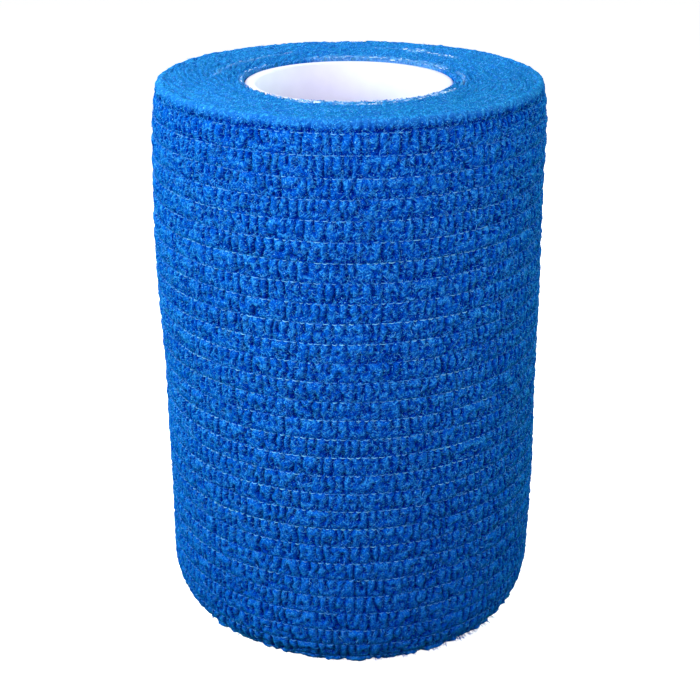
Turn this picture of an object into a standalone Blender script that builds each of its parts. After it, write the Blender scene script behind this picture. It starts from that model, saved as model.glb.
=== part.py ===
"""Cohesive bandage roll: an elastic bandage wound on a plain tube, standing on one end.

Metres, +Z up. The origin is on the roll's axis, at the surface that the roll stands on, and the
front is -Y. Azimuth 0 is +X and 90 degrees is +Y, the back, where the bandage's cut end lies.
"""

from math import cos, exp, pi, radians, sin

import bmesh
import bpy

MM = 0.001

# The bandage as it is wound.
WIDTH = 100 * MM  # the bandage's width, and so the height of the standing roll
ROLL_RADIUS = 34.5 * MM  # the mean radius of the outermost turn
LAYER = 0.95 * MM  # one turn's thickness, which the outermost turn grows by on its way round
BORE_RADIUS = 18.5 * MM  # the innermost turn
CUT_END_AZIMUTH = 84.0  # degrees, where the outermost turn ends in a step
CUT_END_RUN = 0.8  # degrees, over which that step falls to the turn below

# The tube it is wound on.
TUBE_OUTER_RADIUS = 18.2 * MM
TUBE_WALL = 1.8 * MM
TUBE_BOTTOM = 0.7 * MM
TUBE_TOP = 98.9 * MM
TUBE_CHAMFER = 0.25 * MM

# The ends of the roll.
TOP_DISH = 0.7 * MM  # how far the upper end dips from its rim to the tube
TOP_DISH_RADIUS = 31.0 * MM  # the upper end starts to dip here
TOP_DISH_POWER = 1.5  # and dips faster towards the tube
BOTTOM_DISH = 0.7 * MM  # how far the lower end rises at the tube
BOTTOM_FLAT_RADIUS = 21.0 * MM  # the lower end is flat from here out to its rim

# The unevenness of the upper rim, as waves round it.
# waves round the rim, depth below the upper end, phase (radians)
RIM_WAVES = (
    (2, 0.07 * MM, 0.7),
    (3, 0.04 * MM, 2.1),
)

BANDAGE_SECTIONS = 96
TUBE_SECTIONS = 96
SHARP_ANGLE = radians(35)

# How the wall draws in towards the lower rim.
# height above the lower end, inset from the wall
LOWER_RIM = (
    (0.0 * MM, 5.20 * MM),
    (0.35 * MM, 3.80 * MM),
    (1.1 * MM, 2.65 * MM),
    (1.9 * MM, 2.00 * MM),
    (3.2 * MM, 1.18 * MM),
    (4.7 * MM, 0.58 * MM),
    (6.6 * MM, 0.16 * MM),
    (8.8 * MM, 0.0 * MM),
)
LOWER_RIM_LEAN = 0.12  # how much more than its mean it draws in at its roundest, as a share
LOWER_RIM_LEAN_AZIMUTH = 225.0  # degrees, where it is roundest

# How the wall draws in towards the upper rim.
# depth below the upper end, inset from the wall
UPPER_RIM = (
    (12.0 * MM, 0.02 * MM),
    (8.0 * MM, 0.16 * MM),
    (4.5 * MM, 0.44 * MM),
    (2.2 * MM, 0.80 * MM),
    (0.9 * MM, 1.10 * MM),
    (0.2 * MM, 1.50 * MM),
    (0.0 * MM, 2.20 * MM),
)

WALL_STEPS = 10  # rings of the wall between the two rims
UPPER_END_RADII = (29.0 * MM, 26.0 * MM, 23.0 * MM, 20.5 * MM, BORE_RADIUS)

# Where the wound layers bulge or draw in.
# azimuth (degrees), height, bulge, spread round the roll (degrees), spread along it
BULGES = (
    (180.0, 70 * MM, 0.60 * MM, 48.0, 16 * MM),
    (188.0, 22 * MM, -0.20 * MM, 50.0, 14 * MM),
    (182.0, 45 * MM, -0.18 * MM, 40.0, 9 * MM),
    (0.0, 24 * MM, 0.42 * MM, 50.0, 13 * MM),
    (352.0, 82 * MM, -0.38 * MM, 46.0, 14 * MM),
    (270.0, 60 * MM, 0.20 * MM, 40.0, 16 * MM),
    (236.0, 34 * MM, 0.16 * MM, 30.0, 12 * MM),
    (60.0, 58 * MM, 0.24 * MM, 45.0, 18 * MM),
    (118.0, 30 * MM, -0.22 * MM, 40.0, 14 * MM),
)


def clear_scene():
    for old in list(bpy.data.objects):
        bpy.data.objects.remove(old, do_unlink=True)


def material(name, color, roughness):
    made = bpy.data.materials.new(name)
    made.use_nodes = True
    shader = made.node_tree.nodes["Principled BSDF"]
    shader.inputs["Base Color"].default_value = (*color, 1.0)
    shader.inputs["Roughness"].default_value = roughness
    shader.inputs["Metallic"].default_value = 0.0
    return made


def loft_round_axis(name, sections, finish):
    """One closed ring whose cross-sections, lists of (azimuth, radius, height), stand in order round Z."""
    shape = bmesh.new()
    loops = [
        [
            shape.verts.new((radius * cos(azimuth), radius * sin(azimuth), height))
            for azimuth, radius, height in section
        ]
        for section in sections
    ]
    count = len(loops[0])
    for here, after in zip(loops, loops[1:] + loops[:1]):
        for i in range(count):
            j = (i + 1) % count
            shape.faces.new((here[i], after[i], after[j], here[j]))
    bmesh.ops.recalc_face_normals(shape, faces=shape.faces)
    mesh = bpy.data.meshes.new(name)
    shape.to_mesh(mesh)
    shape.free()
    mesh.shade_smooth()
    mesh.set_sharp_from_angle(angle=SHARP_ANGLE)
    mesh.materials.append(finish)
    made = bpy.data.objects.new(name, mesh)
    bpy.context.scene.collection.objects.link(made)
    return made


def degrees_apart(a, b):
    return abs((a - b + 180.0) % 360.0 - 180.0)


def bulge(azimuth, height):
    """How far the wall stands out from its mean here. The azimuth is in degrees."""
    return sum(
        size
        * exp(-((degrees_apart(azimuth, centre) / spread_round) ** 2))
        * exp(-(((height - level) / spread_along) ** 2))
        for centre, level, size, spread_round, spread_along in BULGES
    )


def lower_rim_share(azimuth):
    """How much of LOWER_RIM's inset the lower rim has here. The azimuth is in degrees."""
    return 1.0 + LOWER_RIM_LEAN * cos(radians(azimuth - LOWER_RIM_LEAN_AZIMUTH))


def upper_rim_height(azimuth):
    """The upper rim's height, which its waves only lower. The azimuth is in degrees."""
    return WIDTH - sum(
        depth * (1.0 - cos(waves * radians(azimuth) + phase)) for waves, depth, phase in RIM_WAVES
    )


def dip(radius):
    """How far the upper end has dipped at this radius, which is all of TOP_DISH at the tube."""
    share = max(0.0, (TOP_DISH_RADIUS - radius) / (TOP_DISH_RADIUS - BORE_RADIUS))
    return TOP_DISH * share**TOP_DISH_POWER


def bandage_section(azimuth, growth):
    """One cross-section of the wound bandage, whose wall stands out by growth. The azimuth is in degrees."""
    top = upper_rim_height(azimuth)

    def wall(height, inset):
        return (ROLL_RADIUS + growth + bulge(azimuth, height) - inset, height)

    low = LOWER_RIM[-1][0]
    high = top - UPPER_RIM[0][0]
    outline = [(BORE_RADIUS, BOTTOM_DISH), (BOTTOM_FLAT_RADIUS, 0.0)]
    outline += [wall(height, inset * lower_rim_share(azimuth)) for height, inset in LOWER_RIM]
    outline += [wall(low + (high - low) * i / WALL_STEPS, 0.0) for i in range(1, WALL_STEPS)]
    outline += [wall(top - depth, inset) for depth, inset in UPPER_RIM]
    outline += [(radius, top - dip(radius)) for radius in UPPER_END_RADII]
    return [(radians(azimuth), radius, height) for radius, height in outline]


def make_bandage():
    """The bandage, whose outermost turn ends at the back in a step one layer deep."""
    sections = []
    for i in range(BANDAGE_SECTIONS):
        turned = i / (BANDAGE_SECTIONS - 1)
        azimuth = CUT_END_AZIMUTH + CUT_END_RUN + (360.0 - CUT_END_RUN) * turned
        sections.append(bandage_section(azimuth, LAYER * (turned - 0.5)))
    finish = material("bandage", (0.006, 0.095, 0.46), 0.85)
    return loft_round_axis("bandage_roll", sections, finish)


def make_tube():
    inner = TUBE_OUTER_RADIUS - TUBE_WALL
    outline = (
        (inner + TUBE_CHAMFER, TUBE_BOTTOM),
        (TUBE_OUTER_RADIUS - TUBE_CHAMFER, TUBE_BOTTOM),
        (TUBE_OUTER_RADIUS, TUBE_BOTTOM + TUBE_CHAMFER),
        (TUBE_OUTER_RADIUS, TUBE_TOP - TUBE_CHAMFER),
        (TUBE_OUTER_RADIUS - TUBE_CHAMFER, TUBE_TOP),
        (inner + TUBE_CHAMFER, TUBE_TOP),
        (inner, TUBE_TOP - TUBE_CHAMFER),
        (inner, TUBE_BOTTOM + TUBE_CHAMFER),
    )
    sections = [
        [(2 * pi * i / TUBE_SECTIONS, radius, height) for radius, height in outline]
        for i in range(TUBE_SECTIONS)
    ]
    return loft_round_axis("core_tube", sections, material("tube", (0.82, 0.83, 0.86), 0.45))


clear_scene()
make_bandage()
make_tube()
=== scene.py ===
"""The looks of the cohesive bandage roll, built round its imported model.

The outermost turn of the bandage is four closed bands of crinkled crepe, split at its stitched
elastic threads. The inner turns are one wound piece with their edges showing at both ends. The
threads' stitches, the loose fibres, the palest flecks of the inner layers' edges and the tube are
pieces of their own.

Lengths in the tables and functions below are in millimetres until a mesh is made. Azimuth 0 is +X
and 90 degrees is +Y, the back, where the cut end of the bandage lies. The front is -Y.
"""

from math import cos, pi, radians, sin

import bpy
import numpy as np
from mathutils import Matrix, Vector


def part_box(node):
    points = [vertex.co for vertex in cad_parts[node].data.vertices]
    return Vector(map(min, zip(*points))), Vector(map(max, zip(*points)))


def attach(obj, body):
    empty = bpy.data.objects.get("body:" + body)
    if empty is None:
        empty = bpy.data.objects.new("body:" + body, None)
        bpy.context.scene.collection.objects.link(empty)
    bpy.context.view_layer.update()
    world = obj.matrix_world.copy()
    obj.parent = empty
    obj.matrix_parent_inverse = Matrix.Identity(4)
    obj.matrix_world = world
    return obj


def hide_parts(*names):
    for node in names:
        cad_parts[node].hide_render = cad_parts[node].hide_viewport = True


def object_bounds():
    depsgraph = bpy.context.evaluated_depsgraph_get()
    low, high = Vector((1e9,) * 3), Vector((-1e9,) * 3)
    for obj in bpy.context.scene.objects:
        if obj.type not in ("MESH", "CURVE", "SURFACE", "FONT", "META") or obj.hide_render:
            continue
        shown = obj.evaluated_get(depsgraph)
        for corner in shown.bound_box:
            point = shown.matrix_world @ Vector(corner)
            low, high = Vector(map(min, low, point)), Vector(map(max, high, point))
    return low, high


MM = 0.001

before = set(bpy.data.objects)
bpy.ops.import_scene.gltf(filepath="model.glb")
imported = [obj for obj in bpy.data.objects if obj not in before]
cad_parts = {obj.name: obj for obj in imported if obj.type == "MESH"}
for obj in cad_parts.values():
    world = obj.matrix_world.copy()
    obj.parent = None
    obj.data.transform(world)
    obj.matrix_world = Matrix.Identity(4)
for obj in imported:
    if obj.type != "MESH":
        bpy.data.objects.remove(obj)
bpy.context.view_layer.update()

# ---------------------------------------------------------------- sizes, read from the frame

roll_low, roll_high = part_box("bandage_roll")
tube_low, tube_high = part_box("core_tube")

BOX_MARGIN = 0.25  # how far the solid's box stands out past the outermost turn's mean radius
TUBE_GAP = 0.3  # between the tube and the innermost turn

WIDTH = (roll_high.z - roll_low.z) / MM
ROLL_RADIUS = (roll_high.x - roll_low.x + roll_high.y - roll_low.y) / 4 / MM - BOX_MARGIN
TUBE_OUTER = (tube_high.x - tube_low.x) / 2 / MM
TUBE_WALL = 1.8
TUBE_CORNER = 0.35  # the roundness of the tube's rims
TUBE_BOTTOM = tube_low.z / MM
TUBE_TOP = tube_high.z / MM
BORE_RADIUS = TUBE_OUTER + TUBE_GAP

LAYER = 0.95  # one turn's thickness
CUT_END = 84.0  # azimuth of the outermost turn's cut end, in degrees
CUT_RUN = 0.8  # degrees over which the cut end falls to the turn below
CUT_FACE = 0.85  # how far down the cut end's face goes, in layers
CUT_LIFT = 0.30  # how far the cut end stands off the turn below
CUT_LIFT_RUN = 4.0  # the length over which it lifts
TURN_LENGTH = radians(360 - CUT_RUN) * ROLL_RADIUS

THREADS = 29
THREAD_PITCH = 3.43
FIRST_THREAD = WIDTH - 2.2  # height of the uppermost thread

RIB_PITCH = 1.5
STITCH_PITCH = 1.33

# Where the outermost turn is split into bands: each one's first row, then the row past the last.
BAND_SPLITS = (-1, 6, 13, 20, THREADS)
INNER_SIDE = 2.9  # how far in a band's hidden inner side lies
LOWEST_INNER_SIDE = 8.5  # and the lowest band's, which reaches in over the hem

WALL_COLUMNS = 920
LIP_RINGS = 16
HEM_RINGS = 15
END_COLUMNS = 640
TOP_RINGS = 74
BOTTOM_RINGS = 36

# How the ends dip from their rims to the tube, and how far below the rims they lie.
DISH_RADIUS = 31.0
DISH_POWER = 1.5
TOP_DISH = 0.55
TOP_SET_BACK = 0.16
BOTTOM_DISH = 0.7
BOTTOM_SET_BACK = 0.12
# How far in from the wall the inner turns' edges begin, at the upper and the lower end.
TOP_EDGE_INSET = 2.25
BOTTOM_EDGE_INSET = 5.5

# Where the wound layers bulge or draw in, as in the solid of the roll.
# azimuth (degrees), height, bulge, spread round the roll (degrees), spread along it
BULGES = (
    (180.0, 70, 0.60, 48.0, 16),
    (188.0, 22, -0.20, 50.0, 14),
    (182.0, 45, -0.18, 40.0, 9),
    (0.0, 24, 0.42, 50.0, 13),
    (352.0, 82, -0.38, 46.0, 14),
    (270.0, 60, 0.20, 40.0, 16),
    (236.0, 34, 0.16, 30.0, 12),
    (60.0, 58, 0.24, 45.0, 18),
    (118.0, 30, -0.22, 40.0, 14),
)

# How the wall draws in near its lower rim: height above the lower end, inset.
LOWER_RIM = ((1.1, 2.65), (1.9, 2.00), (3.2, 1.18), (4.7, 0.58), (6.6, 0.16), (8.8, 0.0))
LOWER_RIM_MEAN = 0.93  # how much of that it draws in on the whole, as a share
LOWER_RIM_LEAN = 0.15  # and how much more at its roundest
LOWER_RIM_LEAN_AZIMUTH = 185.0  # degrees, where it is roundest
# How it draws in near its upper rim: depth below the upper end, inset.
UPPER_RIM = ((12.0, 0.02), (8.0, 0.16), (4.5, 0.44), (2.2, 0.80))

# The lip above the first thread, from the wall in over the rim: depth below the upper end, inset.
LIP = (
    (2.2, 0.86), (1.85, 0.78), (1.4, 0.82), (0.95, 0.94), (0.55, 1.13), (0.25, 1.38),
    (0.07, 1.72), (0.0, 2.05), (0.10, 2.38), (0.5, 2.62), (1.2, 2.75),
)
# The lip below the last thread: height above the lower end, inset.
HEM = (
    (1.76, 2.12), (1.4, 2.38), (1.0, 2.74), (0.62, 3.22), (0.3, 3.8),
    (0.08, 4.4), (0.0, 5.0), (0.3, 5.5), (0.9, 5.7),
)

# Pale bands where a few inner layers' edges catch the light.
# radius, azimuth from, azimuth to, half-width, strength
PALE_ARCS = (
    (18.9, 20, 118, 1.25, 0.55),
    (19.5, 70, 106, 0.90, 0.45),
    (20.0, 340, 378, 0.30, 0.60),
    (25.9, 38, 66, 0.42, 0.80),
    (27.2, 56, 82, 0.50, 0.50),
    (24.2, 114, 136, 0.35, 0.35),
    (23.6, 132, 178, 0.40, 0.42),
    (19.4, 228, 332, 0.45, 0.75),
    (20.9, 238, 272, 0.50, 0.75),
    (21.6, 262, 290, 0.45, 0.80),
    (20.9, 288, 306, 0.35, 0.60),
    (20.1, 304, 336, 0.35, 0.85),
    (18.8, 140, 200, 0.40, 0.45),
)

# ---------------------------------------------------------------- small tools


def noise(u, v, seed):
    """Smooth noise from -1 to 1, with a cell of 1 by 1 in u and v."""
    table = np.random.default_rng(seed).uniform(-1, 1, (256, 256))
    u, v = np.broadcast_arrays(u, v)
    column, row = np.floor(u).astype(int), np.floor(v).astype(int)
    a, b = u - column, v - row
    a, b = a * a * (3 - 2 * a), b * b * (3 - 2 * b)
    left, right = column & 255, (column + 1) & 255
    low, high = row & 255, (row + 1) & 255
    lower = table[left, low] * (1 - a) + table[right, low] * a
    upper = table[left, high] * (1 - a) + table[right, high] * a
    return lower * (1 - b) + upper * b


def smoothstep(value, start, end):
    share = np.clip((value - start) / (end - start), 0, 1)
    return share * share * (3 - 2 * share)


def column_of(table, index):
    return np.array([row[index] for row in table], float)


def to_xyz(radius, azimuth, height):
    """Metres from a radius and a height in millimetres and an azimuth in radians."""
    radius, azimuth, height = np.broadcast_arrays(radius, azimuth, height)
    return np.stack([radius * np.cos(azimuth), radius * np.sin(azimuth), height], axis=-1) * MM


def add_object(name, mesh, finish):
    mesh.materials.append(finish)
    made = bpy.data.objects.new(name, mesh)
    bpy.context.scene.collection.objects.link(made)
    return made


def add_values(mesh, name, values):
    attribute = mesh.attributes.new(name, "FLOAT", "POINT")
    attribute.data.foreach_set("value", np.asarray(values, np.float32).ravel())


def add_surface(mesh, u, v):
    """Gives each point its place on the flat cloth, in millimetres, for the material's fibres."""
    u, v = np.broadcast_arrays(u, v)
    places = np.stack([u, v, np.zeros_like(u)], axis=-1)
    attribute = mesh.attributes.new("surface", "FLOAT_VECTOR", "POINT")
    attribute.data.foreach_set("vector", np.asarray(places, np.float32).ravel())


def ring_mesh(name, points):
    """A closed ring: points[section, i] are its cross-sections, closed loops in order round the axis."""
    sections, count = points.shape[:2]
    index = np.arange(sections * count).reshape(sections, count)
    after, beside = np.roll(index, -1, axis=0), np.roll(index, -1, axis=1)
    both = np.roll(after, -1, axis=1)
    quads = np.stack([index, after, both, beside], axis=-1).reshape(-1, 4)
    mesh = bpy.data.meshes.new(name)
    mesh.from_pydata(points.reshape(-1, 3), [], quads)
    mesh.update()
    mesh.shade_smooth()
    return mesh


def strands_mesh(name, paths, radii, sides):
    """Many slim closed strands as one mesh, and how many points each has.

    paths[strand, point] are in metres, and radii[strand, point] is the radius at each point.
    """
    strands, count = paths.shape[:2]
    along = np.gradient(paths, axis=1)
    along /= np.linalg.norm(along, axis=-1, keepdims=True) + 1e-12
    out = paths * (1.0, 1.0, 0.0)
    out = out / (np.linalg.norm(out, axis=-1, keepdims=True) + 1e-12)
    # The slight tilt keeps this from vanishing where a strand points straight out.
    across = np.cross(along, out + (0, 0, 0.37))
    across /= np.linalg.norm(across, axis=-1, keepdims=True) + 1e-12
    up = np.cross(across, along)
    turn = 2 * pi * np.arange(sides) / sides
    ring = (
        across[:, :, None] * np.cos(turn)[None, None, :, None]
        + up[:, :, None] * np.sin(turn)[None, None, :, None]
    )
    body = paths[:, :, None] + ring * radii[:, :, None, None]
    first_tip = paths[:, 0] - along[:, 0] * radii[:, :1]
    last_tip = paths[:, -1] + along[:, -1] * radii[:, -1:]
    tips = np.stack([first_tip, last_tip], axis=1)
    points = np.concatenate([body.reshape(strands, -1, 3), tips], axis=1)
    one = []
    for i in range(count - 1):
        for j in range(sides):
            k = (j + 1) % sides
            a, b = i * sides + j, i * sides + k
            one += [(a, b, b + sides), (a, b + sides, a + sides)]
    first, last = count * sides, count * sides + 1
    for j in range(sides):
        k = (j + 1) % sides
        one += [(first, k, j), (last, (count - 1) * sides + j, (count - 1) * sides + k)]
    per_strand = count * sides + 2
    faces = np.array(one)[None] + (np.arange(strands) * per_strand)[:, None, None]
    mesh = bpy.data.meshes.new(name)
    mesh.from_pydata(points.reshape(-1, 3), [], faces.reshape(-1, 3))
    mesh.update()
    mesh.shade_smooth()
    return mesh, per_strand


# ---------------------------------------------------------------- the shape of the wound roll


def bulge(azimuth, height):
    """How far the wall stands out from its mean. The azimuth is in radians."""
    total = 0.0
    for centre, level, size, spread_round, spread_along in BULGES:
        apart = np.abs((np.degrees(azimuth) - centre + 180) % 360 - 180)
        round_share, along_share = apart / spread_round, (height - level) / spread_along
        total = total + size * np.exp(-(round_share**2) - along_share**2)
    return total


def azimuth_of(turned):
    """The azimuth in radians, where turned goes from 0 under the cut end to 1 at the cut end."""
    return np.radians(CUT_END + CUT_RUN + (360 - CUT_RUN) * turned)


def turn_radius(turned, height):
    """The smooth radius of the outermost turn, before its rims and its crepe."""
    return ROLL_RADIUS + LAYER * (turned - 0.5) + bulge(azimuth_of(turned), height)


def lower_rim_share(azimuth):
    """How much of the lower rim's inset it has here. The azimuth is in radians."""
    return LOWER_RIM_MEAN + LOWER_RIM_LEAN * np.cos(azimuth - radians(LOWER_RIM_LEAN_AZIMUTH))


def rim_inset(height, turned):
    low = np.interp(height, column_of(LOWER_RIM, 0), column_of(LOWER_RIM, 1))
    low = low * lower_rim_share(azimuth_of(turned))
    depths = column_of(UPPER_RIM, 0)[::-1]
    high = np.interp(WIDTH - height, depths, column_of(UPPER_RIM, 1)[::-1])
    return np.where(height < WIDTH / 2, low, high)


def thread_height(thread, along):
    """A thread's height at a length along the turn: nearly level, and a little wavy."""
    level = FIRST_THREAD - THREAD_PITCH * thread
    return (
        level
        + 0.10 * noise(along / 14.0, thread * 1.7 + 3.3, 11)
        + 0.045 * noise(along / 2.3, thread * 2.9 + 8.1, 12)
    )


# ---------------------------------------------------------------- the crepe between two threads


class Crepe:
    """The crinkles of one row between two threads: grooves that start at the upper thread and pits below."""

    def __init__(self, row):
        random = np.random.default_rng(1000 + row)
        count = int(TURN_LENGTH / RIB_PITCH) + 2
        steps = RIB_PITCH * np.clip(random.normal(1.0, 0.17, count), 0.70, 1.40)
        self.start = np.cumsum(steps) * (TURN_LENGTH / steps.sum()) + random.uniform(-0.6, 0.6)
        self.slant = random.normal(0, 0.22, count)
        self.bend = random.normal(0, 0.16, count)
        self.half_width = random.uniform(0.19, 0.32, count)
        self.depth = random.uniform(0.70, 1.0, count)
        self.end = np.where(random.random(count) < 0.28, 1.3, random.uniform(0.50, 0.85, count))
        self.first = np.where(random.random(count) < 0.14, random.uniform(0.25, 0.45, count), 0.0)

        forks = int(TURN_LENGTH / 3.2)
        self.fork_start = np.sort(random.uniform(0, TURN_LENGTH, forks))
        self.fork_from = random.uniform(0.35, 0.65, forks)
        self.fork_slant = random.normal(0, 0.5, forks)
        self.fork_width = random.uniform(0.14, 0.22, forks)
        self.fork_depth = random.uniform(0.35, 0.75, forks)

        pits = int(TURN_LENGTH / 1.7)
        self.pit_along = np.sort(random.uniform(0, TURN_LENGTH, pits))
        self.pit_down = np.clip(random.normal(0.62, 0.2, pits), 0.2, 0.93)
        self.pit_radius = random.uniform(0.20, 0.36, pits)
        self.pit_depth = random.uniform(0.55, 0.95, pits)
        self.row = row

    def groove(self, i, along, down):
        centre = self.start[i] + self.slant[i] * (down - 0.2) + self.bend[i] * np.sin(2.6 * pi * down + i)
        rise = smoothstep(down, self.first[i] - 0.02, self.first[i] + 0.10)
        fall = 1 - smoothstep(down, self.end[i] - 0.14, self.end[i] + 0.06)
        near_end = np.exp(-(((down - self.end[i] + 0.12) / 0.12) ** 2))
        width = self.half_width[i] * (1.15 - 0.3 * down) * (1 + 0.80 * near_end)
        fade = 1.0 - 0.16 * smoothstep(down, 0.50, 0.95)
        return self.depth[i] * fade * rise * fall * np.exp(-(((along - centre) / width) ** 2))

    def fork(self, i, along, down):
        centre = self.fork_start[i] + self.fork_slant[i] * (down - 0.8)
        rise = smoothstep(down, self.fork_from[i], self.fork_from[i] + 0.15)
        return self.fork_depth[i] * rise * np.exp(-(((along - centre) / self.fork_width[i]) ** 2))

    def pit(self, i, along, down):
        span = (along - self.pit_along[i]) ** 2 + ((down - self.pit_down[i]) * THREAD_PITCH) ** 2
        return self.pit_depth[i] * np.exp(-span / self.pit_radius[i] ** 2)

    def openness(self, along, down):
        """How far each point lies inside a groove or pit, from 0 on a rib to 1.

        down goes from 0 at the upper thread to 1 at the lower.
        """
        along, down = np.broadcast_arrays(along, down)
        moved = along + 0.13 * noise(along / 0.9, down * 3.1 + self.row * 7.0, 31)
        flat = np.ones(along.shape)
        # Each kind of mark: where its marks are, how far round them to look, and its shape.
        grooves, forks = (self.start, 2.0, self.groove), (self.fork_start, 1.4, self.fork)
        for places, reach, mark in (grooves, forks, (self.pit_along, 1.2, self.pit)):
            for i, place in enumerate(places):
                near = np.flatnonzero(np.abs(along[0] - place) < reach)
                if near.size:
                    flat[:, near] *= 1 - np.clip(mark(i, moved[:, near], down[:, near]), 0, 1)
        return 1 - flat


def crepe_relief(crepe, along, down):
    """(how far the surface stands out, its painted shade) for one row of crepe, shade being 1 in its
    grooves.
    """
    openness = crepe.openness(along, down)
    row = crepe.row
    # The cloth draws in at both threads, and painted shadow darkens it there.
    pinch_and_shadow = np.clip(np.exp(-down / 0.05) + np.exp(-(1 - down) / 0.035), 0, 1)
    crown = 0.03 * noise(along / 1.5, down * 1.3 + row * 5.0, 41)
    crown = crown + 0.04 * noise(along / 0.75, down * THREAD_PITCH / 0.8 + row * 11.0, 43)
    grain = 0.055 * noise(along / 0.42, down * THREAD_PITCH / 0.42 + row * 9.0, 42)
    grain = grain + 0.07 * noise(along / 0.28, down * THREAD_PITCH / 0.28 + row * 13.0, 44)
    # Each row swells out under its upper thread and is drawn in above the lower one, where painted shade
    # darkens it as it faces down.
    lean = 0.15 * smoothstep(down, 0.0, 0.30) - 0.27 * smoothstep(down, 0.42, 1.0)
    tuck_shade = 0.30 * smoothstep(down, 0.55, 0.90) - 0.06
    outward = lean + crown + grain - 0.80 * openness - 0.28 * pinch_and_shadow
    # Painted shade: darker in the grooves and pits and on lower bumps, lighter on the higher bumps.
    shade = 0.30 + 0.74 * openness + 0.26 * pinch_and_shadow - 0.9 * crown - 1.0 * grain + tuck_shade
    return outward, np.clip(shade, 0, 1.15)


# How the rings of a row are spaced between its threads.
ROW_RINGS = np.array([0.0, 0.05, 0.13, 0.24, 0.36, 0.48, 0.60, 0.72, 0.84, 0.94])


def cut_end_columns(count):
    """(turned, drop) for each column: along the turn, then down the face of its cut end."""
    turned = np.linspace(0, 1, count)
    face_turned, face_drop = [1 + 0.0004, 1 + 0.0008], [0.3, CUT_FACE]
    return np.concatenate([turned, face_turned]), np.concatenate([np.zeros(count), face_drop])


def edge_profile(table, steps):
    """A rim's path as (level, inset), with steps points spaced evenly along it."""
    level, inset = column_of(table, 0), column_of(table, 1)
    run = np.concatenate([[0], np.cumsum(np.hypot(np.diff(level), np.diff(inset)))])
    wanted = np.linspace(0, run[-1], steps)
    return np.interp(wanted, run, level), np.interp(wanted, run, inset)


class Rings:
    """The rings of the outermost turn from its upper lip to its hem, and the row that each is in."""

    def __init__(self, columns):
        self.turned, self.drop = columns
        self.along = self.turned * TURN_LENGTH
        # Each ring's radius, height, shade and edge.
        self.values, self.row = ([], [], [], []), []
        self.add_lip()
        for row in range(THREADS - 1):
            self.add_row(row)
        self.add_hem()

    def add(self, height, inset, outward, shade, edge, row):
        radius = turn_radius(np.minimum(self.turned, 1), height) - inset + outward - self.drop * LAYER
        for values, value in zip(self.values, (radius, height, shade, edge)):
            values.append(np.broadcast_to(value, radius.shape))
        self.row.append(row)

    def add_lip(self):
        """A narrow crease above the first thread, darkened with painted shade, then the edge curls in over
        the rim, painted lighter across the top of the curl.
        """
        along = self.along
        levels, insets = edge_profile(LIP, LIP_RINGS)
        shares = np.arange(LIP_RINGS) / (LIP_RINGS - 1)
        ribs = Crepe(THREADS + 5).openness(along[None], np.clip(0.75 - 1.3 * shares, 0.12, 1)[:, None])
        ribs = ribs * (1 - smoothstep(shares, 0.22, 0.50))[:, None]
        for i in range(LIP_RINGS - 1, 0, -1):
            share = shares[i]
            wave = 0.15 * noise(along / 1.3, i * 0.35, 51) + 0.10 * noise(along / 0.6, i * 0.7, 52)
            grain = 0.11 * noise(along / 0.4, i * 0.9, 58) + 0.08 * noise(along / 0.28, i * 1.0, 59)
            lift = 0.16 * noise(along / 1.2, 40 + i * 0.2, 53) + 0.10 * noise(along / 0.5, i * 0.3, 60)
            first_thread = (thread_height(0, along) - FIRST_THREAD) * (1 - share)
            height = WIDTH - levels[i] + lift * share + first_thread
            crease = np.exp(-(((share - 0.09) / 0.06) ** 2))
            groove = np.clip(noise(along / 0.7, 70 + i * 0.12, 68) - 0.1, 0, 1) * (1 - share)
            wave = wave - 0.3 * groove
            # Painted light across the top of the curl, where it turns up to the lamps.
            bright = 0.14 * smoothstep(share, 0.25, 0.5) * (1 - smoothstep(share, 0.7, 0.95))
            # Painted shade: darker in the crease, in the ribs' grooves and on lower bumps, lighter on higher
            # ones.
            shade = np.clip(0.44 + 0.30 * crease - bright - 1.0 * wave - 1.6 * grain, 0, 1)
            shade = np.clip(shade + 0.45 * ribs[i], 0, 1.15)
            outward = (wave + grain) * (0.4 + 0.6 * share) - 0.16 * crease - 0.42 * ribs[i]
            self.add(height, insets[i], outward, shade, smoothstep(share, 0.12, 0.4), -1)

    def add_row(self, row):
        """The crepe between one thread and the next."""
        upper, lower = thread_height(row, self.along), thread_height(row + 1, self.along)
        outward, shade = crepe_relief(Crepe(row), self.along[None], ROW_RINGS[:, None])
        for i, down in enumerate(ROW_RINGS):
            height = upper + (lower - upper) * down
            self.add(height, rim_inset(height, self.turned), outward[i], shade[i], 0.0, row)

    def add_hem(self):
        """The last thread, and the crumpled edge that turns in below it."""
        along, row = self.along, THREADS - 1
        share_low = lower_rim_share(azimuth_of(self.turned))
        last = thread_height(row, along)
        last_wave = last - (FIRST_THREAD - THREAD_PITCH * row)
        levels, insets = edge_profile(HEM, HEM_RINGS)
        crumple = 0.05 * noise(along / 0.5, 3.3, 54)
        self.add(last, rim_inset(last, self.turned), crumple - 0.18, 0.4, 0.0, row)
        for i in range(1, HEM_RINGS):
            share = i / (HEM_RINGS - 1)
            rib = 0.52 * noise(along / 1.0, i * 0.10, 55) + 0.20 * noise(along / 0.35, i * 0.5, 56)
            uneven = 0.22 * noise(along / 0.9, i * 0.3, 57) * (share < 0.7)
            height = np.maximum(levels[i] + uneven, 0.0) + last_wave * (1 - share)
            # Painted shade: the hem's ribs lighter where they stand out, darker where they sink in.
            shade = np.clip(0.35 - rib, 0, 1)
            self.add(np.maximum(height, 0.0), insets[i] * share_low, rib, shade, 0.0, row)


# ---------------------------------------------------------------- materials


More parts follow.
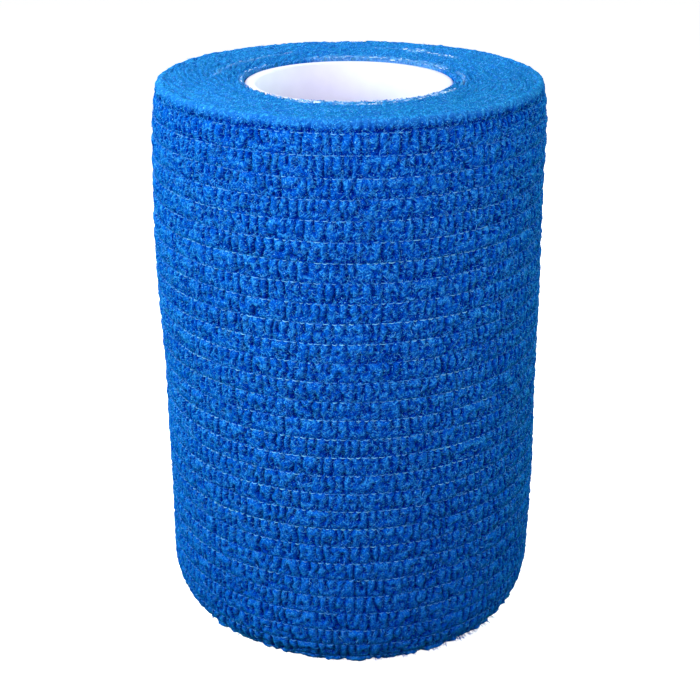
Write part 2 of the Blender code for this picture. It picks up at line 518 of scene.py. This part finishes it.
class Nodes:
    """A material's node tree, with short calls to add and join nodes."""

    def __init__(self, name):
        self.material = bpy.data.materials.new(name)
        self.material.use_nodes = True
        self.tree = self.material.node_tree
        self.shader = self.tree.nodes["Principled BSDF"]

    def add(self, kind, **settings):
        node = self.tree.nodes.new("ShaderNode" + kind)
        for key, value in settings.items():
            setattr(node, key, value)
        return node

    def link(self, source, target):
        self.tree.links.new(source, target)

    def value(self, source, target):
        """Sets a socket to a number or colour, or joins it to an output."""
        if isinstance(source, bpy.types.NodeSocket):
            self.link(source, target)
        else:
            target.default_value = source

    def put(self, source, name):
        """Sets one of the shader's own sockets to a number or colour, or joins it to an output."""
        self.value(source, self.shader.inputs[name])

    def math(self, operation, a, b=0.0, clamp=False):
        node = self.add("Math", operation=operation, use_clamp=clamp)
        self.value(a, node.inputs[0])
        self.value(b, node.inputs[1])
        return node.outputs[0]

    def times(self, a, b, clamp=False):
        return self.math("MULTIPLY", a, b, clamp)

    def mix(self, factor, a, b):
        node = self.add("Mix", data_type="RGBA")
        self.value(factor, node.inputs["Factor"])
        for source, socket in ((a, node.inputs[6]), (b, node.inputs[7])):
            self.value((*source, 1.0) if isinstance(source, tuple) else source, socket)
        return node.outputs[2]

    def ramp(self, source, *stops):
        """A colour ramp: stops are (position, colour) or (position, number)."""
        node = self.add("ValToRGB")
        elements = node.color_ramp.elements
        while len(elements) < len(stops):
            elements.new(0.5)
        for element, (position, colour) in zip(elements, stops):
            element.position = position
            element.color = (*(colour if isinstance(colour, tuple) else (colour,) * 3), 1.0)
        self.link(source, node.inputs[0])
        return node.outputs[0]

    def noise(self, size, detail=2.0, roughness=0.5):
        """Noise whose blobs are about size millimetres, in the object's own coordinates."""
        node = self.add("TexNoise")
        self.link(self.coordinates(), node.inputs["Vector"])
        node.inputs["Scale"].default_value = 1.0 / (size * MM)
        node.inputs["Detail"].default_value = detail
        node.inputs["Roughness"].default_value = roughness
        return node.outputs["Fac"]

    def coordinates(self):
        if not hasattr(self, "place"):
            self.place = self.add("TexCoord").outputs["Object"]
        return self.place

    def height_share(self):
        """The point's height as a share of the roll's."""
        split = self.add("SeparateXYZ")
        self.link(self.coordinates(), split.inputs["Vector"])
        return self.times(split.outputs["Z"], 1 / (WIDTH * MM))

    def attribute(self, name):
        node = self.add("Attribute", attribute_name=name)
        return node.outputs["Fac"]

    def flat_place(self):
        """The point's place on the flat cloth, in millimetres."""
        if not hasattr(self, "surface"):
            self.surface = self.add("Attribute", attribute_name="surface").outputs["Vector"]
        return self.surface

    def strokes(self, angle, length, width):
        """A level from 0 to 1, picked at random for each of many thin marks that lie at an angle."""
        turn = self.add("Mapping", vector_type="TEXTURE")
        turn.inputs["Rotation"].default_value = (0, 0, radians(angle))
        turn.inputs["Location"].default_value = (angle * 0.37, angle * 0.91, 0)
        turn.inputs["Scale"].default_value = (length, width, 1)
        self.link(self.flat_place(), turn.inputs["Vector"])
        cells = self.add("TexVoronoi", voronoi_dimensions="2D", feature="F1")
        cells.inputs["Scale"].default_value = 1.0
        self.link(turn.outputs["Vector"], cells.inputs["Vector"])
        split = self.add("SeparateColor")
        self.link(cells.outputs["Color"], split.inputs["Color"])
        return split.outputs["Red"]

    def web(self, width, height):
        """A net of fine lines round small cells, in millimetres: 1 on a line and 0 in a cell."""
        bend = self.add("TexNoise", noise_dimensions="2D")
        bend.inputs["Scale"].default_value = 1.6
        self.link(self.flat_place(), bend.inputs["Vector"])
        moved = self.add("VectorMath", operation="ADD")
        self.link(self.flat_place(), moved.inputs[0])
        self.link(bend.outputs["Color"], moved.inputs[1])
        cells = self.add("Mapping", vector_type="TEXTURE")
        cells.inputs["Scale"].default_value = (width, height, 1)
        self.link(moved.outputs["Vector"], cells.inputs["Vector"])
        voronoi = self.add("TexVoronoi", voronoi_dimensions="2D", feature="DISTANCE_TO_EDGE")
        voronoi.inputs["Scale"].default_value = 1.0
        self.link(cells.outputs["Vector"], voronoi.inputs["Vector"])
        return self.ramp(voronoi.outputs["Distance"], (0.04, 1.0), (0.30, 0.0))

    def swing(self, source, size):
        """The source's swing about its middle, made size times as wide."""
        return self.times(self.math("SUBTRACT", source, 0.5), size)

    def bump(self, height, distance, strength=1.0):
        node = self.add("Bump")
        node.inputs["Strength"].default_value = strength
        node.inputs["Distance"].default_value = distance * MM
        self.link(height, node.inputs["Height"])
        return node.outputs["Normal"]


# The fibres that show in the cloth: angle, length and width in millimetres.
STROKES = (
    (34, 0.52, 0.17),
    (-39, 0.50, 0.17),
    (80, 0.46, 0.17),
    (8, 0.40, 0.17),
)

# The cloth's colours from its highest ribs to its deepest grooves, darker towards the grooves with painted
# shade: place on the ramp, colour.
WALL_BLUES = (
    (0.0, (0.006, 0.151, 0.69)),
    (0.35, (0.001, 0.072, 0.53)),
    (0.65, (0.0, 0.027, 0.36)),
    (1.0, (0.0, 0.005, 0.20)),
)
# The colours of the ends and of the lip's curl: lighter and more cyan than the wall's, painted sheen of the
# surfaces that face up to the lamps: place on the ramp, colour.
EDGE_BLUES = (
    (0.0, (0.022, 0.184, 0.66)),
    (0.35, (0.014, 0.148, 0.60)),
    (0.65, (0.007, 0.121, 0.55)),
    (1.0, (0.004, 0.097, 0.50)),
)
FIBRE_BLUE = (0.036, 0.350, 0.920)
GLINT_BLUE = (0.165, 0.620, 1.000)
PALE_BLUE = (0.26, 0.54, 1.00)
WHITE_EDGE = (0.72, 0.84, 1.00)


def fibre_marks(n):
    """(light, dark): 1 on the cloth's pale fibres, and 1 on the gaps between them."""
    light = dark = 0.0
    for angle, length, width in STROKES:
        level = n.strokes(angle, length, width)
        light = n.math("MAXIMUM", light, n.ramp(level, (0.91, 0.0), (0.96, 1.0)))
        dark = n.math("MAXIMUM", dark, n.ramp(level, (0.06, 1.0), (0.10, 0.0)))
    return light, dark


def crepe_material():
    """Matt crinkled elastic cloth with fine fibres, with painted shade that makes it deeper blue in its
    grooves and lighter on its ribs.
    """
    n = Nodes("crepe")
    shade = n.attribute("shade")
    grain, fine = n.noise(0.36, 3.0, 0.7), n.noise(0.20, 2.0, 0.6)
    light, dark = fibre_marks(n)
    # The cloth's fine detail is softer near its lower edge.
    crisp = n.ramp(n.height_share(), (0.05, 0.45), (0.45, 1.0))
    depth = n.math("ADD", shade, n.swing(grain, 0.42))
    depth = n.math("ADD", depth, n.swing(fine, 1.95))
    depth = n.math("ADD", depth, n.swing(n.noise(9.0, 2.0), 0.12))
    depth = n.math("ADD", depth, n.times(n.times(dark, crisp), 0.26))
    depth = n.math("ADD", depth, n.times(n.web(0.95, 1.2), -0.08), clamp=True)
    # The ends and the lip's curl take the lighter colours, which are painted sheen.
    colour = n.mix(n.attribute("edge"), n.ramp(depth, *WALL_BLUES), n.ramp(depth, *EDGE_BLUES))
    # The pale fibres show less where the painted shade is deep.
    on_ribs = n.math("SUBTRACT", 0.85, n.times(shade, 0.5))
    shown = n.times(light, on_ribs, clamp=True)
    colour = n.mix(n.times(shown, crisp), colour, FIBRE_BLUE)
    glints = n.ramp(n.noise(0.22, 1.0, 0.5), (0.685, 0.0), (0.725, 1.0))
    colour = n.mix(n.times(glints, n.times(crisp, 0.85)), colour, GLINT_BLUE)
    flecks = n.ramp(n.noise(0.4, 3.0, 0.7), (0.38, 0.15), (0.58, 1.0))
    arcs = n.times(n.attribute("pale"), flecks)
    colour = n.mix(arcs, colour, PALE_BLUE)
    whitest = n.ramp(n.times(arcs, n.noise(0.5, 2.0)), (0.28, 0.0), (0.38, 1.0))
    colour = n.mix(whitest, colour, WHITE_EDGE)
    n.put(colour, "Base Color")
    n.put(n.ramp(grain, (0.2, 0.78), (0.8, 0.95)), "Roughness")
    n.put(0.0, "Specular IOR Level")
    n.put(0.23, "Sheen Weight")
    n.put(0.3, "Sheen Roughness")
    n.put((0.0, 0.70, 0.30, 1.0), "Sheen Tint")
    height = n.math("ADD", n.times(grain, 0.8), n.times(fine, 0.9))
    height = n.math("ADD", height, n.times(light, 0.5))
    height = n.math("ADD", height, n.times(dark, -0.5))
    n.put(n.bump(height, 0.25, 1.0), "Normal")
    return n.material


def strand_material(name, dark, light, roughness):
    """Fine thread or fibre, whose shade from 0 to 1 goes from dark to light."""
    n = Nodes(name)
    level = n.math("ADD", n.attribute("shade"), n.swing(n.noise(0.3, 2.0), 0.5), clamp=True)
    n.put(n.ramp(level, (0.0, dark), (1.0, light)), "Base Color")
    uneven = n.ramp(n.noise(0.2), (0.3, roughness - 0.08), (0.7, roughness + 0.08))
    n.put(uneven, "Roughness")
    n.put(0.05, "Specular IOR Level")
    return n.material


def tube_material():
    """Plain satin white plastic, faintly mottled, with a painted lavender tint for the blue light that the
    cloth throws onto it.
    """
    n = Nodes("white_tube")
    white = n.ramp(n.noise(3.0, 3.0), (0.3, (0.68, 0.66, 0.82)), (0.7, (0.71, 0.69, 0.85)))
    n.put(white, "Base Color")
    n.put(n.ramp(n.noise(1.2, 2.0), (0.3, 0.38), (0.7, 0.5)), "Roughness")
    n.put(n.bump(n.noise(1.6, 2.0), 0.04, 0.5), "Normal")
    n.put(0.25, "Subsurface Weight")
    n.put((0.002, 0.002, 0.002), "Subsurface Radius")
    return n.material


def floor_material():
    """Plain pale studio paper, which glows a little so that it stays evenly pale."""
    n = Nodes("pale_floor")
    n.put(n.ramp(n.noise(400.0, 2.0), (0.3, 0.93), (0.7, 0.96)), "Base Color")
    n.put((1.0, 1.0, 1.0, 1.0), "Emission Color")
    n.put(0.85, "Emission Strength")
    n.material.cycles.emission_sampling = "NONE"
    n.put(0.9, "Roughness")
    n.put(0.1, "Specular IOR Level")
    return n.material


# ---------------------------------------------------------------- pieces


def add_piece(name, mesh, finish, slot, *nodes):
    """A piece of the object, which stands for the named nodes of the solid model."""
    piece = add_object(name, mesh, finish)
    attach(piece, "root")
    if nodes:
        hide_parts(*nodes)


def add_strands(name, paths, radii, shades, sides, finish):
    """Slim strands as one piece of the bandage. shades holds one shade for each strand."""
    mesh, per_strand = strands_mesh(name, paths, radii, sides)
    add_values(mesh, "shade", np.repeat(shades, per_strand))
    add_piece(name, mesh, finish, "bandage")


def fray_cut_end(columns, radius, height, shade):
    """The radius and shade with the cut end lifted, painted shadow cast below it and on its face and a
    painted highlight along its edge, and how far round its edge moves.
    """
    turned, drop = columns
    near_end = (smoothstep(turned, 1 - CUT_LIFT_RUN / TURN_LENGTH, 1) * (1 - drop / CUT_FACE))[:, None]
    ragged = 0.45 * noise(height / 1.3, 0.5, 81) + 0.30 * noise(height / 0.45, 2.5, 82)
    shadow = 0.8 * (1 - smoothstep(turned, 0.0, 1.3 / TURN_LENGTH)) + 0.4 * (drop > 0)
    # A painted highlight along the cut edge.
    rim = 0.35 * smoothstep(turned, 1 - 1.6 / TURN_LENGTH, 1) * (drop == 0)
    shade = np.clip(shade + (shadow - rim)[:, None], 0, 1.15)
    return radius + CUT_LIFT * near_end, shade, near_end * ragged / ROLL_RADIUS


def inner_side(band, radius, height):
    """A band's hidden inner side, kept a little clear of its neighbours: its lowest and highest point."""
    inner = np.minimum(radius[:, [-1, 0]] - 0.1, ROLL_RADIUS - INNER_SIDE)
    inner_height = height[:, [-1, 0]] + np.array([0.15, -0.15])
    if band == 0:
        inner_height[:, 1] = WIDTH - 1.6
    if band == len(BAND_SPLITS) - 2:
        inner = np.minimum(inner, ROLL_RADIUS - LOWEST_INNER_SIDE)
        inner_height[:, 0] = 1.0
    return inner, inner_height


def make_wall(cloth):
    """The outermost turn as closed bands, split at threads."""
    columns = cut_end_columns(WALL_COLUMNS)
    azimuth = azimuth_of(columns[0])[:, None]
    rings = Rings(columns)
    rows = np.array(rings.row)
    for band, (start, end) in enumerate(zip(BAND_SPLITS, BAND_SPLITS[1:])):
        first = int(np.argmax(rows >= start))
        last = int(np.argmax(rows >= end)) if end < THREADS else len(rows) - 1
        stacks = (np.stack(values[first : last + 1], axis=1) for values in rings.values)
        radius, height, shade, edge = stacks
        radius, shade, shift = fray_cut_end(columns, radius, height, shade)
        inner, inner_height = inner_side(band, radius, height)
        radius = np.concatenate([radius, inner], axis=1)[:, ::-1]
        height = np.concatenate([height, inner_height], axis=1)[:, ::-1]
        shift = np.concatenate([shift, np.zeros_like(inner)], axis=1)[:, ::-1]
        name = f"outer_turn_{band + 1}"
        mesh = ring_mesh(name, to_xyz(radius, azimuth + shift, height))
        add_values(mesh, "shade", np.concatenate([shade, np.full_like(inner, 0.8)], axis=1)[:, ::-1])
        add_values(mesh, "edge", np.concatenate([edge, edge[:, [-1, 0]]], axis=1)[:, ::-1])
        add_surface(mesh, (columns[0] * TURN_LENGTH)[:, None], height)
        add_piece(name, mesh, cloth, "bandage", *(["bandage_roll"] if band == 0 else []))


def pale_share(radius, azimuth):
    """How pale an inner layer's edge is here, from 0 to 1. The azimuth is in radians."""
    total = np.zeros(np.broadcast(radius, azimuth).shape)
    for centre, start, end, half_width, strength in PALE_ARCS:
        middle, reach = (start + end) / 2, (end - start) / 2
        apart = np.abs((np.degrees(azimuth) - middle + 180) % 360 - 180)
        wander = 0.12 * np.sin(azimuth * 23 + centre * 5)
        across = np.exp(-(((radius - centre - wander) / half_width) ** 2))
        total = np.maximum(total, strength * across * (1 - smoothstep(apart, reach * 0.75, reach)))
    return total


def dip_share(radius):
    """How much of its dip an end of the roll has at this radius, from 0 to 1 at the tube."""
    return np.clip((DISH_RADIUS - radius) / (DISH_RADIUS - BORE_RADIUS), 0, 1) ** DISH_POWER


def end_surface(turned, share, top):
    """(radius, height, shade, pale) of the inner turns' edges, from the bore at share 0 out to share 1."""
    azimuth = azimuth_of(turned)
    drawn_in = TOP_EDGE_INSET if top else BOTTOM_EDGE_INSET * lower_rim_share(azimuth)
    outer = ROLL_RADIUS - drawn_in + LAYER * (turned - 0.5)
    ragged = 0.16 * noise(azimuth * 22, 0.5, 61) + 0.12 * noise(azimuth * 48, 1.5, 62)
    slack = 0.15 + 0.40 * np.clip(-np.sin(azimuth), 0, 1) if top else 0.0
    bore = BORE_RADIUS - 0.2 + slack + ragged * (1 - smoothstep(share, 0.0, 0.05))
    radius = bore + (outer - bore) * share
    arc = azimuth * radius
    turns = (radius - outer) / LAYER
    layer = np.floor(turns)
    crinkle = 0.30 * noise(arc / 0.85, layer * 3.7, 63) + 0.16 * noise(arc / 0.4, layer * 5.1, 64)
    ridge = 0.5 + 0.5 * np.cos(2 * pi * (turns + crinkle - 0.5))
    near_core = 1 - smoothstep(radius, BORE_RADIUS + 1.5, BORE_RADIUS + 7)
    grain = noise(arc / 0.5, radius / 0.42, 65)
    blobs = noise(arc / 0.95, radius / 0.8, 66)
    fine = noise(arc / 0.27, radius / 0.26, 67)
    relief = (0.06 + 0.20 * near_core) * (ridge - 0.6) + 0.20 * grain + 0.22 * blobs + 0.14 * fine
    if top:
        height = WIDTH - TOP_SET_BACK - TOP_DISH * dip_share(radius) + relief
    else:
        height = np.maximum(BOTTOM_SET_BACK + BOTTOM_DISH * dip_share(radius) - relief, 0.0)
    # Painted shade: lighter on the higher bumps, darker on the lower ones, and a little darker near the
    # tube.
    shade = np.clip(0.45 - 1.3 * relief + 0.12 * near_core, 0, 1.1)
    return radius, height, shade, pale_share(radius, azimuth)


def make_inner_turns(cloth):
    """The inner turns as one wound piece, with the edges of its layers at both ends."""
    turned = np.linspace(0, 1, END_COLUMNS)[:, None]
    azimuth = azimuth_of(turned)
    top = end_surface(turned, np.linspace(0, 1, TOP_RINGS)[None], True)
    bottom = end_surface(turned, np.linspace(1, 0, BOTTOM_RINGS)[None], False)
    # Its hidden outer side, and the side that faces the tube.
    outer = bottom[0][:, :1] + (top[0][:, -1:] - bottom[0][:, :1]) * np.array([1.0, 0.85, 0.0])
    outer_height = np.array([WIDTH - 1.4, 12.0, 1.0]) + 0 * outer
    inner = top[0][:, :1] + np.zeros(3)
    inner_height = np.array([3.0, WIDTH / 2, WIDTH - 3.0]) + 0 * inner
    radius = np.concatenate([top[0], outer, bottom[0], inner], axis=1)[:, ::-1]
    height = np.concatenate([top[1], outer_height, bottom[1], inner_height], axis=1)[:, ::-1]
    shade = np.concatenate([top[2], 0 * outer + 0.7, bottom[2], 0 * inner + 0.6], axis=1)[:, ::-1]
    pale = np.concatenate([top[3], 0 * outer, bottom[3] * 0.6, 0 * inner], axis=1)[:, ::-1]
    mesh = ring_mesh("inner_turns", to_xyz(radius, azimuth, height))
    add_values(mesh, "shade", shade)
    add_values(mesh, "edge", np.ones_like(shade))
    add_values(mesh, "pale", pale)
    add_surface(mesh, radius * np.cos(azimuth), radius * np.sin(azimuth))
    add_piece("inner_turns", mesh, cloth, "bandage")


def on_wall(along, height, outward):
    """The place in metres of a point that stands outward of the wall's smooth surface."""
    turned = np.minimum(along / TURN_LENGTH, 1)
    radius = turn_radius(turned, height) - rim_inset(height, turned) + outward
    return to_xyz(radius, azimuth_of(along / TURN_LENGTH), height)


def on_top(radius, azimuth, outward):
    """The place in metres of a point that stands outward of the upper end's smooth surface."""
    return to_xyz(radius, azimuth, WIDTH - 0.08 - 0.6 * dip_share(radius) + outward)


# How a short strand runs from one end to the other, and how a free end bends away.
STEP = np.array([-0.5, 0.0, 0.5])
OUT = np.array([0.0, 0.5, 1.0])
BEND = np.array([0.0, 0.4, 1.0])


def stitch_share(thread, along):
    """How plainly the stitches of a thread show here, from 0 to 1, or below 0 where they hardly do."""
    azimuth = np.degrees(azimuth_of(along / TURN_LENGTH)) % 360
    level = FIRST_THREAD - THREAD_PITCH * thread
    plain = smoothstep(noise(along / 5.0, thread * 3.1, 71), -0.85, 0.0)
    plain = plain * np.random.default_rng(72).uniform(0.55, 1.0, THREADS)[thread]
    plain = plain * (0.15 + 0.85 * smoothstep(level, 2.0, 36.0))
    # They are dimmer and lie deeper along both sides.
    for middle, reach in ((182, 32), (354, 46)):
        apart = np.abs((azimuth - middle + 180) % 360 - 180)
        plain = plain * (0.15 + 0.85 * smoothstep(apart, reach - 12, reach + 6))
    if thread == 0:
        # The rim hides the first thread but for a stretch at the front.
        plain = plain * smoothstep(azimuth, 222, 236) * (1 - smoothstep(azimuth, 290, 304)) - 0.4
    return plain


def thread_stitches(random, thread):
    """(paths, radii, shades) of the stitches along one thread."""
    count = int(TURN_LENGTH / STITCH_PITCH)
    centre = (np.arange(count) + 0.5) * STITCH_PITCH + random.normal(0, 0.07, count)
    length = np.clip(random.normal(0.82, 0.20, count), 0.35, 1.25)
    along = centre[:, None] + length[:, None] * STEP
    height = thread_height(thread, along) + random.normal(0, 0.03, (count, 3))
    shown = stitch_share(thread, centre)
    bow = np.array([-0.24, 0.04, -0.24]) + random.normal(0, 0.03, (count, 1)) - 0.09 * (1 - shown)[:, None]
    thick = random.uniform(0.047, 0.077, count) * np.where(shown < -0.2, 0.4, 1.0)
    shade = np.clip(random.beta(1.6, 0.9, count) * (0.15 + 0.85 * shown), 0.0, 1)
    return on_wall(along, height, bow), thick[:, None] * np.array([0.75, 1.0, 0.75]) * MM, shade


def thread_tails(random):
    """(paths, radii, shades) of the threads' tails, which stick out of the cut end."""
    along = TURN_LENGTH + random.uniform(1.0, 3.2, THREADS)[:, None] * OUT - 0.5
    height = thread_height(np.arange(THREADS)[:, None], along) + random.normal(0, 0.3, (THREADS, 3)) * BEND
    outward = random.uniform(-0.35, 0.45, THREADS)[:, None] * OUT + 0.1
    radii = np.full((THREADS, 3), 0.085) * MM
    return on_wall(along, height, outward), radii, random.uniform(0.3, 0.8, THREADS)


def make_stitches(finish):
    """The stitches that show along each elastic thread, as short bowed lengths, and the threads' tails."""
    random = np.random.default_rng(7)
    parts = [thread_stitches(random, thread) for thread in range(THREADS)] + [thread_tails(random)]
    paths, radii, shades = (np.concatenate(values) for values in zip(*parts))
    add_strands("thread_stitches", paths, radii, shades, 4, finish)


def fuzz_paths(random, u, v, lifts, reaches, place):
    """Paths of three points for loose fibres: place turns (u, v, outward) into metres.

    lifts and reaches are the least and the most that a fibre stands out and is long.
    """
    count = len(u)
    lift, reach = random.uniform(*lifts, count), random.uniform(*reaches, count)
    angle = random.uniform(0, 2 * pi, count)
    middle = np.array([0.0, 1.0, 0.0])
    bend = random.normal(0, 0.22, count) * reach
    along_u = (np.cos(angle) * reach)[:, None] * STEP - (np.sin(angle) * bend)[:, None] * middle
    along_v = (np.sin(angle) * reach)[:, None] * STEP + (np.cos(angle) * bend)[:, None] * middle
    free = random.random(count) < 0.3
    outward = np.stack([np.full(count, -0.12), lift, np.where(free, lift * 1.1, -0.10)], axis=1)
    return place(u[:, None] + along_u, v[:, None] + along_v, outward)


def wall_fibres(random, count):
    along, height = random.uniform(0.5, TURN_LENGTH - 0.5, count), random.uniform(1.2, WIDTH - 1.6, count)
    return fuzz_paths(random, along, height, (0.05, 0.26), (0.5, 1.3), on_wall)


def end_fibres(random, azimuth, radius, lifts, reaches):
    """Paths of fibres that lie on the upper end, round these middles."""

    def near(du, dv, outward):
        return on_top(radius[:, None] + du, azimuth[:, None] + dv / radius[:, None], outward)

    zero = np.zeros(len(radius))
    return fuzz_paths(random, zero, zero, lifts, reaches, near)


def top_fibres(random, count):
    azimuth = random.uniform(0, 2 * pi, count)
    radius = np.sqrt(random.uniform(BORE_RADIUS**2, (ROLL_RADIUS - 1.6) ** 2, count))
    return end_fibres(random, azimuth, radius, (0.04, 0.22), (0.4, 1.0))


def bore_fibres(random, count):
    azimuth = random.uniform(0, 2 * pi, count)
    radius = BORE_RADIUS + random.uniform(-0.1, 0.25, count)
    return end_fibres(random, azimuth, radius, (0.0, 0.2), (0.4, 0.9))


def hem_fringe(random, count):
    """The fringe of the lower edge, fullest at the front on the right, where it hangs in tufts."""
    tufts = radians(299) + random.normal(0, 0.24, 46)
    tufted = random.choice(tufts, count) + random.normal(0, 0.007, count)
    azimuth = np.where(random.random(count) < 0.6, tufted, random.uniform(0, 2 * pi, count))
    turned = ((np.degrees(azimuth) - CUT_END) % 360) / 360
    low = random.uniform(0.15, 1.2, count)
    inset = np.interp(low, column_of(HEM, 0)[::-1], column_of(HEM, 1)[::-1]) * lower_rim_share(azimuth)
    reach = random.uniform(0.3, 1.25, count)[:, None] * np.array([-0.25, 0.45, 1.0])
    radius = (turn_radius(turned, low) - inset)[:, None] + reach
    swing = random.normal(0, 0.35, count)[:, None] * BEND / ROLL_RADIUS
    fall = random.uniform(0.0, 0.35, count)[:, None] * BEND
    return to_xyz(radius, azimuth[:, None] + swing, np.maximum(low[:, None] - fall, 0.08))


def cut_end_fibres(random, count):
    """The frayed fibres that stick out of the cut end."""
    start = TURN_LENGTH - random.uniform(0.0, 0.9, count)
    along = start[:, None] + random.uniform(0.5, 1.7, count)[:, None] * OUT
    height = random.uniform(2.4, WIDTH - 0.9, count)[:, None]
    height = height + random.normal(0, 0.35, count)[:, None] * BEND
    return on_wall(along, height, CUT_LIFT + random.uniform(-0.55, 0.40, count)[:, None] * BEND)


# The groups of loose fibres: how each is laid, how many, and how bright they are.
FIBRES = (
    (wall_fibres, 3900, 1.0),
    (top_fibres, 900, 1.0),
    (bore_fibres, 420, 1.0),
    (hem_fringe, 620, 0.4),
    (cut_end_fibres, 240, 0.9),
)


def make_fuzz(finish):
    """Loose fibres that stand a little out of the cloth."""
    random = np.random.default_rng(21)
    paths = np.concatenate([lay(random, count) for lay, count, _ in FIBRES])
    bright = np.concatenate([np.full(count, level) for _, count, level in FIBRES])
    thick = random.uniform(0.030, 0.062, len(paths))[:, None] * np.array([1.0, 0.9, 0.55])
    shades = random.uniform(0.1, 1.0, len(paths)) * bright
    add_strands("loose_fibres", paths, thick * MM, shades, 3, finish)


def make_pale_edges(finish):
    """The brightest flecks of the inner layers' edges, as short strands laid along the pale bands."""
    random = np.random.default_rng(33)
    parts = []
    for centre, start, end, half_width, strength in PALE_ARCS:
        count = int(radians(end - start) * centre * strength * 1.5)
        middle = np.radians(random.uniform(start + 2, end - 2, count))
        radius = centre + random.normal(0, 0.40 * half_width, count)
        step = random.uniform(0.3, 1.1, count)[:, None] * STEP
        path_radius = radius[:, None] + random.normal(0, 0.05, (count, 3))
        height = WIDTH - TOP_SET_BACK - TOP_DISH * dip_share(path_radius)
        height = height + random.uniform(0.02, 0.26, count)[:, None]
        paths = to_xyz(path_radius, middle[:, None] + step / radius[:, None], height)
        thick = random.uniform(0.03, 0.085, count)[:, None] * np.array([0.6, 1.0, 0.6])
        shades = np.clip(random.beta(1.5, 1.5, count) * (0.4 + strength), 0, 1)
        parts.append((paths, thick * MM, shades))
    paths, radii, shades = (np.concatenate(values) for values in zip(*parts))
    add_strands("pale_edges", paths, radii, shades, 4, finish)


def make_tube(finish):
    """The white tube, with rounded rims."""
    inner = TUBE_OUTER - TUBE_WALL
    outside, inside = TUBE_OUTER - TUBE_CORNER, inner + TUBE_CORNER
    low, high = TUBE_BOTTOM + TUBE_CORNER, TUBE_TOP - TUBE_CORNER

    def corner(radius, height, start):
        angles = [radians(start + 22.5 * step) for step in range(5)]
        return [(radius + TUBE_CORNER * cos(a), height + TUBE_CORNER * sin(a)) for a in angles]

    def side(radius, start, end):
        return [(radius, start + (end - start) * k / 8) for k in range(1, 8)]

    outline = corner(outside, low, -90) + side(TUBE_OUTER, TUBE_BOTTOM, TUBE_TOP)
    outline += corner(outside, high, 0) + corner(inside, high, 90) + side(inner, TUBE_TOP, TUBE_BOTTOM)
    outline += corner(inside, low, 180)
    radius, height = np.array(outline).T
    azimuth = np.linspace(0, 2 * pi, 192, endpoint=False)[:, None]
    mesh = ring_mesh("white_tube", to_xyz(radius[None], azimuth, height[None]))
    add_piece("white_tube", mesh, finish, "tube", "core_tube")


# ---------------------------------------------------------------- the stage


# The floor curves up far off into a pale backdrop all round: radius, height, in metres.
STAGE = ((3.0, 0.0), (6.0, 0.0), (6.8, 0.12), (7.5, 0.5), (8.0, 1.2), (8.2, 2.2), (8.2, 9.0))
STAGE_SPOKES = 96
STAGE_GAP = 0.00002  # between the floor and the roll, in metres


def make_floor():
    mesh = bpy.data.meshes.new("floor")
    turn = 2 * pi * np.arange(STAGE_SPOKES) / STAGE_SPOKES
    points = [(r * cos(a), r * sin(a), z) for r, z in STAGE for a in turn]
    faces = [tuple(range(STAGE_SPOKES))]
    for ring in range(len(STAGE) - 1):
        for i in range(STAGE_SPOKES):
            a, b = ring * STAGE_SPOKES + i, ring * STAGE_SPOKES + (i + 1) % STAGE_SPOKES
            faces.append((a, a + STAGE_SPOKES, b + STAGE_SPOKES, b))
    mesh.from_pydata(points, [], faces)
    mesh.shade_smooth()
    floor = add_object("floor", mesh, floor_material())
    floor.location.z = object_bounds()[0][2] - STAGE_GAP
    floor.visible_diffuse = False


WHITE = (1.0, 1.0, 1.0)
# The studio's soft round lights: name, place, size (metres), power (watts) and colour.
LIGHTS = (
    ("left", (-0.31, -0.09, 0.19), 0.20, 1.36, (0.74, 1.0, 0.91)),
    ("front_right", (0.117, -0.203, 0.160), 0.12, 0.29, WHITE),
    ("front_left", (-0.08, -0.21, 0.175), 0.12, 0.34, WHITE),
    ("over", (-0.10, 0.09, 0.24), 0.14, 0.34, WHITE),
    ("right", (0.220, 0.090, 0.166), 0.15, 0.39, (0.60, 1.0, 0.70)),
    ("back_left", (-0.20, 0.26, 0.20), 0.20, 0.45, WHITE),
    ("back_right", (0.20, 0.26, 0.20), 0.20, 0.45, WHITE),
)
LIT_POINT = (0, 0, 0.07)  # what they all shine at, in metres
WORLD_STRENGTH = 0.12


def make_lights():
    for name, place, size, power, colour in LIGHTS:
        light = bpy.data.lights.new(name, "AREA")
        light.shape = "DISK"
        light.size = size
        light.energy = power
        light.color = colour
        lamp = bpy.data.objects.new(name, light)
        bpy.context.scene.collection.objects.link(lamp)
        lamp.location = place
        lamp.rotation_euler = (Vector(LIT_POINT) - lamp.location).to_track_quat("-Z", "Y").to_euler()
        lamp.visible_camera = False
    world = bpy.data.worlds.new("studio")
    bpy.context.scene.world = world
    world.use_nodes = True
    background = world.node_tree.nodes["Background"]
    background.inputs["Color"].default_value = (1.0, 1.0, 1.0, 1.0)
    background.inputs["Strength"].default_value = WORLD_STRENGTH


CAMERA_PLACE = (0.00018, -0.2367, 0.1478)  # in metres
CAMERA_PITCH = 22.87  # degrees below level
CAMERA_LENS = 69.93  # millimetres


def make_camera():
    """The camera stands in front of the roll, above it, and looks down at it."""
    data = bpy.data.cameras.new("camera")
    data.sensor_width = 36.0
    data.lens = CAMERA_LENS
    data.clip_start = 0.01
    camera = bpy.data.objects.new("camera", data)
    bpy.context.scene.collection.objects.link(camera)
    camera.location = CAMERA_PLACE
    camera.rotation_euler = (radians(90 - CAMERA_PITCH), 0, 0)
    bpy.context.scene.camera = camera


bpy.context.scene.view_settings.view_transform = "Standard"

cloth = crepe_material()
make_wall(cloth)
make_inner_turns(cloth)
make_stitches(strand_material("elastic_thread", (0.002, 0.11, 0.58), (0.25, 0.70, 1.00), 0.7))
make_fuzz(strand_material("loose_fibre", (0.0, 0.06, 0.46), (0.09, 0.42, 0.94), 0.8))
make_pale_edges(strand_material("pale_edge", (0.10, 0.36, 0.95), (0.86, 0.93, 1.00), 0.7))
make_tube(tube_material())
make_camera()
make_lights()
make_floor()
